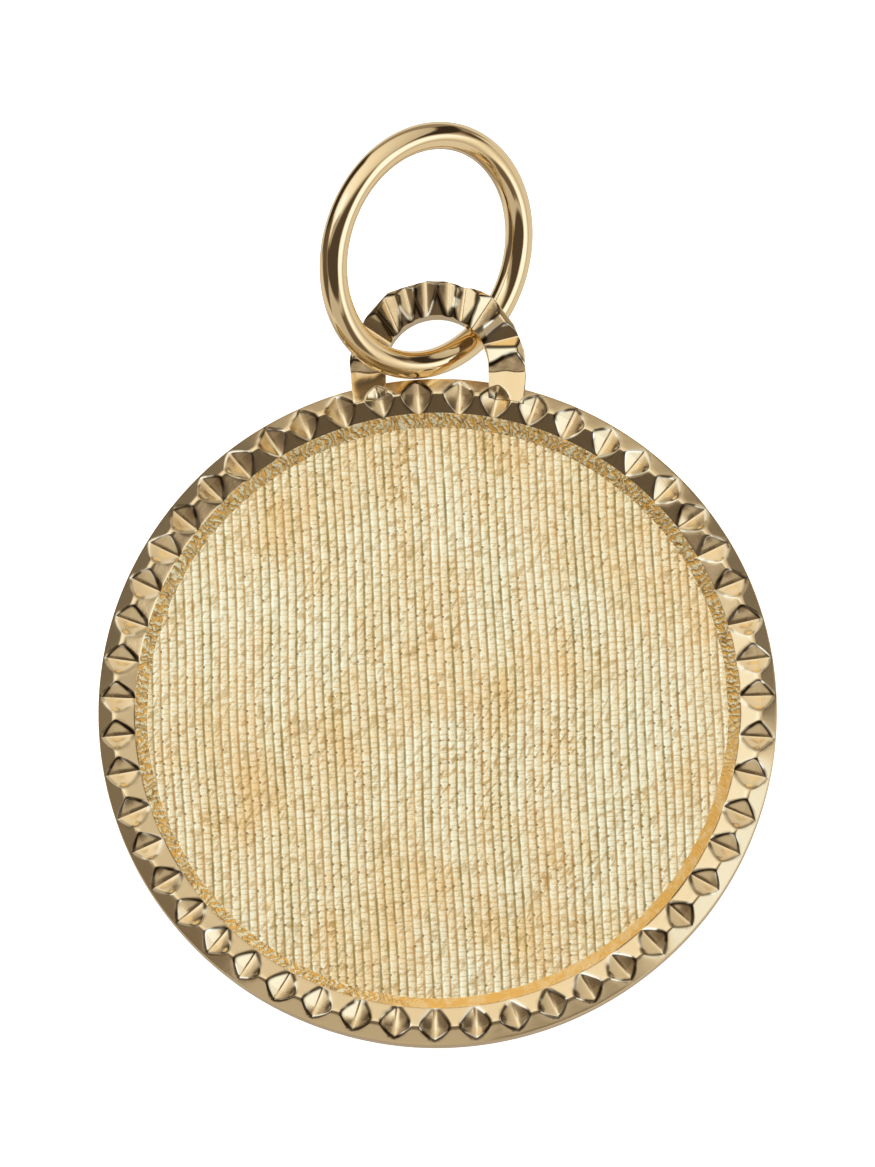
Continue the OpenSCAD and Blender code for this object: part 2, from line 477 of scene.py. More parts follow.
def plate_surface():
    """Points of the engraved face, and for each its place across the lines and along them.

    Column x runs from -R to R and row v from -1 to 1, and y = v root(R^2 - x^2). Each
    groove is exp(-(d / w)^2) deep at the distance d from its middle, times the stroke's
    pressure. A ridge falls off to both sides by CROWN times the square of the way out.
    """
    count = int(PLATE_EDGE_R / LINE_PITCH)
    across = (np.arange(-count, count)[:, None] + COLUMNS_AT).ravel()
    across = across[np.abs(across) * LINE_PITCH < PLATE_EDGE_R - EDGE_MARGIN]
    x = (across * LINE_PITCH)[None]
    v = np.linspace(-1, 1, PLATE_ROWS)[:, None]
    y = v * np.sqrt(PLATE_EDGE_R**2 - x**2)
    number = np.round(across)
    from_groove = np.abs(across - number) * LINE_PITCH
    seeds = np.random.default_rng(24).uniform(0, 2 * math.pi, (4, 2 * count + 3))
    groove_start = seeds[:2, (number + count + 1).astype(int)]
    ridge_start = seeds[2:, (np.floor(across) + count + 1).astype(int)]
    pressure = PRESSURE + sum(
        size * np.sin(y * turn + start) for (size, turn), start in zip(PRESSURE_WAVES, groove_start)
    )
    groove = LINE_DEPTH * pressure * np.exp(-((from_groove / LINE_WIDTH) ** 2))
    crown = CROWN * (2 * np.abs(across - np.floor(across) - 0.5)) ** 2
    lift = sum(size * np.sin(y * turn + start) for (size, turn), start in zip(LIFT_WAVES, ridge_start))
    z = PLATE_H + lift - crown - groove
    sway = sum(size * np.sin(y * up + x * over + start) for size, up, over, start in SWAY_WAVES)
    x = x + sway * (1 - v**2)
    turned_x = x * math.cos(LINE_LEAN) - y * math.sin(LINE_LEAN)
    turned_y = x * math.sin(LINE_LEAN) + y * math.cos(LINE_LEAN)
    place = np.stack([np.broadcast_to(across, z.shape), y, np.zeros_like(z)], -1)
    return np.stack([turned_x, turned_y, z], -1), place


plate_grid, plate_place = plate_surface()
rows, columns = plate_grid.shape[:2]
number_at = np.arange(rows * columns).reshape(rows, columns)
outline = np.concatenate([
    number_at[0, :-1], number_at[:-1, -1], number_at[-1, :0:-1], number_at[:0:-1, 0],
])
rim_of_plate = plate_grid.reshape(-1, 3)[outline] * [1, 1, 0] + [0, 0, PLATE_LOW_H]
plate_points = np.concatenate([plate_grid.reshape(-1, 3), rim_of_plate, [[0, 0, PLATE_LOW_H]]])
lower = rows * columns + np.arange(len(outline))
side = np.stack([outline, np.roll(outline, -1), np.roll(lower, -1), lower], -1)
plate = make_piece(
    "engraved_plate",
    plate_points,
    np.concatenate([grid_quads(rows, columns), side[:, ::-1]]),
    fan(lower, len(plate_points) - 1)[:, ::-1],
    "charm_body",
)
lines = plate.data.attributes.new("lines", "FLOAT_VECTOR", "POINT")
line_values = np.zeros((len(plate_points), 3), np.float32)
line_values[: rows * columns] = plate_place.reshape(-1, 3)
lines.data.foreach_set("vector", line_values.ravel())

# %% [markdown]
# ## The bail
# The bail is a half-round arch on two short legs, cut from the same notched band and
# soldered to the rim. A closed section is carried up the left leg, over the arch and down
# the right leg. The V cuts are nine lines over the arch, each with its own slant, and one
# across each leg.

# %% Section, path and cuts of the bail
ARCH_Y = 9.8
ARCH_INNER_R = 1.45
ARCH_OUTER_R = 2.58
ARCH_CREST_R = 2.28
BAIL_BACK_H = 0.17
BAIL_CREST_H = 1.05
BAIL_INNER_H = 0.84
BAIL_WALL_H = 0.72
# The valley across a leg, below the arch's centre; the leg's foot and its end inside the rim
LEG_VALLEY = 0.15
LEG_VALLEY_H = 0.7
LEG_FOOT_H = 0.82
LEG_FOOT_Y = 8.7
# Within SUNK_R of the disc's middle the legs' ends are sunk in the rim, to SUNK_H
SUNK_R = CREST_R - 0.01
SUNK_H = VALLEY_H - 0.1
# How fast the rim's notches fade outside its crest, so that they leave the legs smooth
FOOT_FADE = 1.6
BAIL_SOFT = 0.02
# Below this height the band is left uncut
FLANK_H = 0.4
# Each cut over the arch: where it crosses the middle of the band, clockwise from the top of
# the arch, the way that its valley runs, its height, and the slopes of its two walls
ARCH_CUTS = [
    (-80, -80, 0.80, 0.67, 0.67),
    (-61, -55, 0.76, 0.67, 0.60),
    (-41.5, -22, 0.80, 0.80, 0.55),
    (-25, -14, 0.84, 0.60, 0.70),
    (-9.6, -2, 0.80, 0.65, 0.70),
    (9.2, 2, 0.83, 0.62, 0.60),
    (21.5, 8, 0.78, 0.75, 0.50),
    (40.4, 33, 0.77, 0.75, 0.62),
    (68, 76, 0.80, 0.58, 0.80),
]
BAND_MIDDLE_R = 1.97
# Corners of the filed outline: distance from the arch's centre, and clockwise from its top
OUTLINE = [
    (2.7, -120), (2.47, -86), (2.47, -72), (2.45, -56), (2.56, -33), (2.44, -13.5), (2.475, -6),
    (2.45, 6), (2.39, 17), (2.495, 29), (2.54, 38), (2.47, 61.5), (2.5, 80), (2.5, 94), (2.8, 120),
]
ARCH_STEPS = 460
LEG_STEPS = 60
BAND_STEP = 0.042

band_corners = [
    (ARCH_CREST_R, BAIL_BACK_H), (ARCH_OUTER_R, BAIL_BACK_H), (ARCH_OUTER_R, BAIL_WALL_H),
    (ARCH_CREST_R, BAIL_CREST_H + 0.01), (ARCH_INNER_R, BAIL_INNER_H), (ARCH_INNER_R, BAIL_BACK_H),
    (ARCH_CREST_R, BAIL_BACK_H),
]
band_radii = [0.15, 0.04, 0.04, 0.04, 0.15]
band_line = even_steps(rounded_corners(band_corners, band_radii, CORNER_STEPS), BAND_STEP)[:-1]
print("points round the band:", len(band_line))

# %% Shape of the bail
LEG_WANDER = 0.02
LEG_WANDER_TURN = 9
NEARLY_NONE = 1e-6


def filed(sideways, upwards):
    """Draws the points of the arch in to the filed outline: a chain of straight edges.

    An edge from a to b is met from the arch's centre, in the direction d, at the distance
    (a x b) / (d x (b - a)), and the outline there is the nearest of the edges.
    """
    corners = [(r * math.sin(math.radians(t)), r * math.cos(math.radians(t))) for r, t in OUTLINE]
    away = np.hypot(sideways, upwards)
    turn = np.arctan2(sideways, upwards)
    limit = np.full(away.shape, HIGH_UP)
    for (ax, ay), (bx, by) in zip(corners, corners[1:]):
        facing = (sideways * (by - ay) - upwards * (bx - ax)) / away
        reach = (ax * by - ay * bx) / np.where(np.abs(facing) < NEARLY_NONE, NEARLY_NONE, facing)
        here = (turn >= math.atan2(ax, ay)) & (turn <= math.atan2(bx, by))
        limit = np.where(here, reach, limit)
    scale = np.minimum(1.0, limit / away)
    return sideways * scale, upwards * scale


def leg_height(upwards, sideways):
    """Height of the cut across a leg: one wall of a V, and a slope down from the rim's crest."""
    slope = (LEG_FOOT_H - LEG_VALLEY_H) / (ARCH_Y - LEG_VALLEY - CREST_R)
    along = upwards + LEG_VALLEY + LEG_WANDER * np.sin(sideways * LEG_WANDER_TURN)
    return LEG_VALLEY_H + np.where(along > 0, SIDE_SLOPE * along, -slope * along)


def rim_cut_height(x, y):
    """Height of the rim's own notches at a point, plus FOOT_FADE times (r - crest)^2 outside it."""
    turn = np.arctan2(x, y)[..., None]
    r = np.hypot(x, y)
    apart = (turn - notch_at + math.pi) % (2 * math.pi) - math.pi
    cut = v_height(apart * r[..., None], valley_h, SIDE_SLOPE).min(-1)
    return cut + FOOT_FADE * np.maximum(r - CREST_R, 0) ** 2


def bail_surface():
    """Points of the bail as steps along its path by points round its section, and edge shares.

    A point at the distance d out from the path's centre stands at (-d, y) on the left leg,
    (d sin a, d cos a) from the arch's centre on the arch, and (d, y) on the right leg. Its
    height is the soft minimum of the section and of every cut.
    """
    leg = np.linspace(LEG_FOOT_Y, ARCH_Y, LEG_STEPS, endpoint=False)
    arch = np.linspace(-math.pi / 2, math.pi / 2, ARCH_STEPS)
    out = band_line[:, 0]
    section = np.broadcast_to(band_line[:, 1], (2 * LEG_STEPS + ARCH_STEPS, len(out)))
    sideways = np.concatenate([
        np.broadcast_to(-out, (LEG_STEPS, len(out))),
        np.sin(arch)[:, None] * out,
        np.broadcast_to(out, (LEG_STEPS, len(out))),
    ])
    upwards = np.concatenate([
        np.broadcast_to((leg - ARCH_Y)[:, None], (LEG_STEPS, len(out))),
        np.cos(arch)[:, None] * out,
        np.broadcast_to((leg[::-1] - ARCH_Y)[:, None], (LEG_STEPS, len(out))),
    ])
    sideways, upwards = filed(sideways, upwards)
    leg_cut = leg_height(upwards, sideways)
    # Shares of the bail's points in the painted edge reflections along its cuts
    edges = np.exp(-(((section - leg_cut) / LINE_DROP) ** 4))
    height = softer_of(section, leg_cut, BAIL_SOFT)
    for at, runs, low, left, right in ARCH_CUTS:
        at, runs = math.radians(at), math.radians(runs)
        x = sideways - BAND_MIDDLE_R * math.sin(at)
        y = upwards - BAND_MIDDLE_R * math.cos(at)
        across = x * math.cos(runs) - y * math.sin(runs)
        cut = v_height(across, low, np.where(across < 0, left, right))
        near = sideways * math.sin(at) + upwards * math.cos(at) > 0
        edges = np.maximum(edges, np.exp(-(((height - cut) / LINE_DROP) ** 4)) * near)
        height = np.where(near, softer_of(height, cut, BAIL_SOFT), height)
    height = softer_of(height, rim_cut_height(sideways, upwards + ARCH_Y), BAIL_SOFT)
    sunk = np.hypot(sideways, upwards + ARCH_Y) < SUNK_R
    height = np.where(sunk, np.minimum(height, SUNK_H), height)
    edges = np.where(section > FLANK_H, edges, 0)
    height = np.where(section > FLANK_H, height, section)
    return np.stack([sideways, upwards + ARCH_Y, height], -1), edges.ravel()


# %% The bail as a mesh
bail_grid, bail_edges = bail_surface()
rows, columns = bail_grid.shape[:2]
ends = [bail_grid[0].mean(0), bail_grid[-1].mean(0)]
loop = np.arange(columns)
bail = make_piece(
    "bail",
    np.concatenate([bail_grid.reshape(-1, 3), ends]),
    grid_quads(rows, columns, ring=True),
    np.concatenate([fan(loop[::-1], rows * columns), fan(loop + (rows - 1) * columns, rows * columns + 1)]),
    "charm_body",
)
mark_edges(bail, bail_edges)

# %% [markdown]
# ## The jump ring
# A jump ring is a length of round wire wound on a rod, cut, closed and soldered. Its
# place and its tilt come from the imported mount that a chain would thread. A ring is a
# circle of circles, and the wire keeps a trace of the draw plate and of handling.

# %% Ring
RING_R = 6.57 / 2
WIRE_R = 0.39
WIRE_WANDER = 0.004
RING_STEPS = 480
WIRE_STEPS = 72
ring_mount = mounts["chain_ring"]
ring_axis = np.array(ring_mount["axis"], float)


def unlaid(direction):
    """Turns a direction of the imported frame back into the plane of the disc."""
    along = direction @ lean_axis
    turned = direction * math.cos(lean) - np.cross(lean_axis, direction) * math.sin(lean)
    return turned + along * lean_axis * (1 - math.cos(lean))


def ring_surface():
    """Points of the ring: C + R u(a) + w (cos b u(a) + sin b n), a round the ring, b round the wire."""
    middle = unlaid(np.array(ring_mount["pos_m"])) / MM
    normal = unlaid(ring_axis)
    first = np.cross(normal, [0.0, 0.0, 1.0])
    first /= np.linalg.norm(first)
    second = np.cross(normal, first)
    a = np.linspace(0, 2 * math.pi, RING_STEPS, endpoint=False)[:, None]
    b = np.linspace(0, 2 * math.pi, WIRE_STEPS, endpoint=False)[None]
    outward = np.cos(a)[..., None] * first + np.sin(a)[..., None] * second
    wire = WIRE_R * (1 + WIRE_WANDER * wobble(8, a, 6) * np.cos(b))
    return middle + RING_R * outward + wire[..., None] * (
        np.cos(b)[..., None] * outward + np.sin(b)[..., None] * normal
    )


ring_grid = ring_surface()
jump_ring = make_piece(
    "jump_ring_wire",
    ring_grid.reshape(-1, 3),
    grid_quads(RING_STEPS, WIRE_STEPS, ring=True, loop=True),
    np.zeros((0, 3), int),
    "jump_ring",
)

# %% [markdown]
# ## Shader maths as Python
# A material is a graph of nodes. Written as arithmetic it reads like a formula. The class
# below wraps one output socket, and each operator adds the Math node that it stands for.
# One method adds every other kind of node.

# %% Values and nodes


class Value:
    """A node's output that takes part in Python arithmetic."""

    def __init__(self, graph, socket):
        self.graph = graph
        self.socket = socket

    def __add__(self, other):
        return self.graph.maths("ADD", self, other)

    def __sub__(self, other):
        return self.graph.maths("SUBTRACT", self, other)

    def __mul__(self, other):
        return self.graph.maths("MULTIPLY", self, other)

    def __truediv__(self, other):
        return self.graph.maths("DIVIDE", self, other)

    def __rsub__(self, other):
        return self.graph.maths("SUBTRACT", other, self)

    __radd__ = __add__
    __rmul__ = __mul__


class Graph:
    """A node tree, emptied, with one method that adds any node."""

    def __init__(self, tree):
        self.tree = tree
        tree.nodes.clear()

    def add(self, kind, settings, sockets, output=0):
        """Adds a node, sets its settings, then its sockets' values or links, and gives an output."""
        node = self.tree.nodes.new("ShaderNode" + kind)
        for name, value in settings.items():
            if name == "stops":
                ramp = node.color_ramp
                while len(ramp.elements) < len(value):
                    ramp.elements.new(1.0)
                for element, (position, colour) in zip(ramp.elements, value):
                    element.position = position
                    element.color = (*colour, 1.0)
            else:
                setattr(node, name, value)
        for name, value in sockets.items():
            if isinstance(value, Value):
                self.tree.links.new(value.socket, node.inputs[name])
            else:
                node.inputs[name].default_value = value
        return Value(self, node.outputs[output]) if node.outputs else node

    def maths(self, operation, *values):
        """A Math node on up to three values."""
        return self.add("Math", {"operation": operation}, dict(enumerate(values)))

    def step(self, value, start, end):
        """A smooth step from 0 at start to 1 at end."""
        limits = {"Value": value, "From Min": start, "From Max": end}
        return self.add("MapRange", {"interpolation_type": "SMOOTHSTEP"}, limits)

    def mix(self, factor, first, second):
        """A blend of two colours."""
        return self.add("Mix", {"data_type": "RGBA"}, {0: factor, 6: first, 7: second}, 2)

    def noise(self, place, scale, detail=2.0, rough=0.5):
        """Smooth noise between 0 and 1."""
        sockets = {"Vector": place, "Scale": scale, "Detail": detail, "Roughness": rough}
        return self.add("TexNoise", {}, sockets)


def new_material(name):
    """A material and its emptied graph."""
    material = bpy.data.materials.new(name)
    material.use_nodes = True
    return material, Graph(material.node_tree)


# %% [markdown]
# ## The studio
# Polished gold has almost no look of its own: it shows the room. A jeweller's light tent
# has a big soft light on one side, dark openings, and a white table below. The world here
# is that room, painted by direction as soft-edged cards. Each card has a bearing, counted
# from +X towards +Y, and an angle from straight up.

# %% Cards of the light tent
# name, middle bearing, half width, top angle, bottom angle, softness of both, slant, light
CARDS = [
    ("horizon", -90, 100, 61, 95, 3, 0.0, 0.56),
    ("table", 0, 200, 95, 190, 3, 0.0, 0.72),
    ("behind table", 92, 60, 84, 110, 3, 0.0, 0.30),
    ("under table", 0, 200, 139, 190, 3, 0.0, 0.64),
    ("shade", -100, 30, 108, 150, 4, 0.0, 0.30),
    ("shade at the left", -145, 18, 128, 157, 4, 0.0, 0.42),
    ("shadow of the disc", 0, 200, 159, 190, 3, 0.0, 0.42),
    ("bright corner", 161, 16, 22, 48, 6, 0.0, 1.32),
    ("end of the box", -167, 13, 20, 48, 6, 0.0, 0.42),
    ("window", -20, 22, 48, 85, 7, 0.0, 1.30),
    ("right gap", 33, 25, 70, 89, 3, 0.55, 0.04),
    ("left gap", 147, 30, 68, 113, 9, 0.0, 0.04),
    ("doorway", -165, 30, 62, 103, 8, 0.0, 0.12),
    ("lamp foot", -65, 16, 67, 91, 3, 0.0, 0.15),
]
BEARING_SOFT = 4.0
DARK_SIDE = 0.08
# The soft box: the way that it lies, the softness of its edge overhead, its lower edge, and
# how its light falls off towards the right and downwards
BOX_BEARING = math.radians(98)
BOX_EDGE_FROM = -0.22
BOX_EDGE_TO = 0.12
BOX_BOTTOM = 84
BOX_BOTTOM_SOFT = 4
BOX_LIGHT = 0.99
BOX_RIGHTWARD = 0.33
BOX_DOWNWARD = 0.31
# Colour of the light by its level, in parts of the brightest: dark corners are warm and the
# window is cool
LIGHT_SCALE = 1.5
LIGHT_COLOURS = [
    (0.0, (0.80, 0.60, 0.47)), (0.08, (0.80, 0.62, 0.49)), (0.3, (0.80, 0.75, 0.70)),
    (0.62, (0.80, 0.77, 0.74)), (0.88, (0.66, 0.77, 0.97)),
]
COLOUR_SCALE = 1.25
BACKDROP = (1.0, 1.0, 1.0, 1.0)


def build_studio():
    """The world: a soft box and cards in a dark room, and a plain backdrop for the camera."""
    world = bpy.data.worlds.new("studio")
    world.use_nodes = True
    bpy.context.scene.world = world
    graph = Graph(world.node_tree)
    ray = graph.add("TexCoord", {}, {}, "Generated")
    x, y, z = (graph.add("SeparateXYZ", {}, {0: ray}, k) for k in range(3))
    polar = graph.maths("ARCCOSINE", z) * math.degrees(1)
    bearing = graph.maths("ARCTAN2", y, x) * math.degrees(1)
    box = graph.step(x * math.cos(BOX_BEARING) + y * math.sin(BOX_BEARING), BOX_EDGE_FROM, BOX_EDGE_TO)
    box = box * graph.step(polar, BOX_BOTTOM + BOX_BOTTOM_SOFT, BOX_BOTTOM - BOX_BOTTOM_SOFT)
    box_light = BOX_LIGHT - x * BOX_RIGHTWARD - (1 - z) * BOX_DOWNWARD
    light = DARK_SIDE + box * (box_light - DARK_SIDE)
    for name, middle, half_width, top, bottom, soft, slant, level in CARDS:
        aside = graph.maths("WRAP", bearing - middle, 180.0, -180.0)
        here = polar - aside * slant if slant else polar
        card = graph.step(here, top - soft, top + soft)
        if bottom < 180:
            card = card * graph.step(here, bottom + soft, bottom - soft)
        if half_width < 180:
            width = graph.maths("ABSOLUTE", aside)
            card = card * graph.step(width, half_width + BEARING_SOFT, half_width - BEARING_SOFT)
        light = light + card * (level - light)
    seen = graph.add("LightPath", {}, {}, "Is Camera Ray")
    tint = graph.add("ValToRGB", {"stops": LIGHT_COLOURS}, {0: light / LIGHT_SCALE})
    colour = graph.add("VectorMath", {"operation": "SCALE"}, {0: tint, "Scale": light * COLOUR_SCALE})
    colour = graph.mix(seen, colour, BACKDROP)
    shader = graph.add("Background", {}, {"Color": colour})
    graph.add("OutputWorld", {}, {"Surface": shader})


build_studio()
print("cards in the light tent:", len(CARDS))

# %% [markdown]
# ## Polished gold
# Pale 14 carat gold is a metal with a warm, light colour. The polished parts are nearly
# mirrors, with a faint haze from the buffing wheel and fine unevenness that bends their
# reflections. Fine scratches from wear scatter some of the light, most of all outside the
# crest. A Mix Shader blends a smooth and a scratched gold by a share that varies.
# Stretches of the edges of the cuts are painted dark and bright, as painted reflections.

# %% Polished gold
GOLD = (0.95, 0.745, 0.425, 1.0)
# The rim and the bail take the same gold painted a little lighter, as painted light
LIGHTENED_RIM_GOLD = (1.0, 0.79, 0.455, 1.0)
SMEARED = (0.98, 0.78, 0.46, 1.0)
# The next two colours paint stretches of the edges of the cuts: a painted dark reflection and a painted
# bright highlight
PAINTED_DARK_EDGE = (0.06, 0.035, 0.012, 1.0)
PAINTED_BRIGHT_EDGE = (1.0, 0.92, 0.70, 1.0)
SCRATCHED = 0.6
UNEVEN_DEPTH = 0.00002
# Pattern scales count features in a metre
BRIGHT_STRETCH_SCALE = 1600.0
EDGE_SHARE = 0.95
# The scratched band starts this far outside the crest, and is full this far outside it
RUBBED_FROM = (CREST_R + 0.03) * MM
RUBBED_TO = (CREST_R + 0.08) * MM


def polished_gold(name, gold, haze, waviness, scale, veil, outer_veil=0.0):
    """Gold with a slight haze that varies, and a bump that bends its reflections a little.

    The veil is the share of fine scratches, which scatter light from all round. It is larger
    by outer_veil outside the crest of the rim, where the charm rubs on things. Stretches of
    the edges of the cuts are painted dark and others painted bright: painted reflections of
    the dark and the light parts of the room in their rounded edges.
    """
    material, graph = new_material(name)
    place = graph.add("TexCoord", {}, {}, "Object")
    smear = graph.noise(place, scale * 0.35, 3.0)
    grain = graph.noise(place, scale, 4.0, 0.6)
    roughness = haze * (0.7 + smear * 0.6)
    bump = graph.add("Bump", {}, {"Strength": waviness, "Distance": UNEVEN_DEPTH, "Height": grain})
    # Painted dark and bright reflections along the edges of the cuts
    edges = graph.add("Attribute", {"attribute_name": "edges"}, {}, "Fac")
    bright_stretch = graph.step(graph.noise(place, BRIGHT_STRETCH_SCALE, 1.0), 0.5, 0.6)
    colour = graph.mix(smear, gold, SMEARED)
    colour = graph.mix(edges * EDGE_SHARE, colour, graph.mix(bright_stretch, PAINTED_DARK_EDGE, PAINTED_BRIGHT_EDGE))
    mirror, scratched = (
        graph.add("BsdfPrincipled", {}, {
            "Base Color": colour, "Metallic": 1.0, "Roughness": rough, "Normal": bump,
        })
        for rough in (roughness, SCRATCHED)
    )
    from_middle = graph.add("VectorMath", {"operation": "LENGTH"}, {0: place}, 1)
    rubbed = graph.step(from_middle, RUBBED_FROM, RUBBED_TO)
    share = (veil + rubbed * outer_veil) * (1 - edges)
    surface = graph.add("MixShader", {}, {0: share, 1: mirror, 2: scratched})
    graph.add("OutputMaterial", {}, {"Surface": surface})
    return material


# name, colour, haze, waviness, scale of the unevenness, veil, more veil outside the crest
rim_gold = polished_gold("rim_gold", LIGHTENED_RIM_GOLD, 0.13, 0.2, 2500.0, 0.13, 0.22)
bail_gold = polished_gold("bail_gold", LIGHTENED_RIM_GOLD, 0.13, 0.2, 2500.0, 0.1)
wire_gold = polished_gold("wire_gold", GOLD, 0.07, 0.1, 1200.0, 0.0)
for piece, finish in ((notched_rim, rim_gold), (bail, bail_gold), (jump_ring, wire_gold)):
    piece.data.materials.append(finish)
    print(piece.name, "is", finish.name)

# %% [markdown]
# ## Chased gold
# The sloping wall between the rim and the plate was struck with a small punch, blow beside
# blow. It is rough, and its amber is painted light: each dent sees its neighbours more than
# the room. So it is half a dull metal, with dents as waves round the disc that noise breaks
# up, painted cream highlights on their tops, and a painted amber reflection of the plate
# where it is smooth.

# %% Chased gold of the wall round the plate
# The two ambers are painted light that the dents and the plate throw onto the wall, and the cream is a
# painted highlight
REFLECTED_AMBER = (0.96, 0.56, 0.15, 1.0)
PALE_REFLECTED_AMBER = (1.0, 0.69, 0.29, 1.0)
WALL_HIGHLIGHT_CREAM = (1.0, 0.90, 0.56, 1.0)
WALL_CHIP = (0.42, 0.22, 0.06, 1.0)
# Waves of the marks, in radians of wave for each radian round the disc, and how far the
# noise pushes them
WALL_MARKS = 300.0
MARKS_PUSH = 34
BROKEN_SCALE = 1700.0
LUMP_SCALE = 4200.0
WALL_GRAIN_SCALE = 9000.0
WALL_CHIP_SCALE = 6500.0
DENT_DEPTH = 0.00005
# The wall ends just inside the foot of the bevel
WALL_END_R = FOOT_R - 0.01
# The wall gets smooth between these two distances towards the lower right, in metres, and there it is
# painted with the plate's amber reflection
SMOOTH_FROM = 0.0060
SMOOTH_TO = 0.0085


def chased_gold():
    """Gold of the wall down to the plate: rough, with the marks of a tool that bumped along it.

    The marks are the sine of the angle round the disc times WALL_MARKS, pushed about by
    noise, and the wall is smoother at the lower right, where the tool ran freely. Its amber is
    painted reflected light, and the tops of the marks carry painted cream highlights.
    """
    material, graph = new_material("chased_gold")
    place = graph.add("TexCoord", {}, {}, "Object")
    x, y = (graph.add("SeparateXYZ", {}, {0: place}, k) for k in (0, 1))
    turn = graph.maths("ARCTAN2", y, x)
    broken = graph.noise(place, BROKEN_SCALE, 3.0, 0.6)
    lumps = graph.noise(place, LUMP_SCALE, 2.0, 0.6)
    marks = graph.maths("SINE", turn * WALL_MARKS + broken * MARKS_PUSH)
    marks = marks * (0.4 + lumps) + (lumps - 0.5) * 2
    smooth = graph.step(x * 0.75 - y, SMOOTH_FROM, SMOOTH_TO)
    grain = graph.noise(place, WALL_GRAIN_SCALE, 3.0, 0.6)
    height = marks * (1 - smooth * 0.85) * 0.5 + grain * 0.5
    bump = graph.add("Bump", {}, {"Strength": 1.0, "Distance": DENT_DEPTH, "Height": height})
    # Painted amber light between the marks, and painted cream highlights on their tops
    rough_tone = graph.mix(graph.step(marks + grain * 1.4, 0.2, 1.3), REFLECTED_AMBER, WALL_HIGHLIGHT_CREAM)
    chips = graph.step(graph.noise(place, WALL_CHIP_SCALE, 2.0, 0.6), 0.54, 0.64)
    rough_tone = graph.mix(chips * 0.7, rough_tone, WALL_CHIP)
    # Where the wall is smooth, painted amber streaks stand for the plate's reflection
    reflected_streak = graph.step(broken + (lumps - 0.5) * 0.7, 0.42, 0.66)
    colour = graph.mix(smooth, rough_tone, graph.mix(reflected_streak, REFLECTED_AMBER, PALE_REFLECTED_AMBER))
    shader = graph.add("BsdfPrincipled", {}, {
        "Base Color": colour, "Metallic": 0.3, "Roughness": 0.35, "Specular IOR Level": 0.0, "Normal": bump,
    })
    graph.add("OutputMaterial", {}, {"Surface": shader})
    return material


notched_rim.data.materials.append(chased_gold())
middles = np.zeros(len(notched_rim.data.polygons) * 3, np.float32)
notched_rim.data.polygons.foreach_get("center", middles)
from_axis = np.linalg.norm(middles.reshape(-1, 3)[:, :2], axis=1) / MM
on_wall = from_axis < WALL_END_R
notched_rim.data.polygons.foreach_set("material_index", on_wall.astype(np.int32))
print("faces of the wall:", int(on_wall.sum()))

# %% [markdown]
# ## Engraved gold
# Seen close, the engraved face is not plain lines. Each ridge is a row of beads, as the
# liner graver skips, each with a painted cream highlight; the grooves and the gaps between
# beads are thin, with painted olive and rusty shade, and patches are dull and chipped. The
# pattern follows the attribute that the plate's own mesh carries, so that beads and grooves
# stay on their lines wherever those sway.

# %% Colours and sizes of the engraved face
TAN = (0.96, 0.68, 0.32, 1.0)
# The next four colours are painted light and shade: a painted highlight on the beads, painted shade in the
# grooves and gaps, and painted shade in the dots
BEAD_HIGHLIGHT = (1.0, 0.94, 0.65, 1.0)
OLIVE_SHADE = (0.38, 0.27, 0.08, 1.0)
RUSTY_SHADE = (0.60, 0.36, 0.13, 1.0)
DOT_SHADE = (0.27, 0.17, 0.06, 1.0)
ORANGE = (0.60, 0.40, 0.15, 1.0)
BEAD_PITCH = 0.17
DOT_PITCH = 0.32
DOT_R = 0.035
# Where a dot stands beside its groove, as a share of the distance between two lines
DOT_ASIDE = 0.12
GRAIN_SCALE = 22000.0
CLOT_SCALE = 9000.0
CHIP_SCALE = 9500.0
PATCH_SCALE = 900.0
SLOW_SCALE = 260.0
CHIP_TURN = 0.7
FACE_DEPTH = 0.00001

# %% Engraved gold


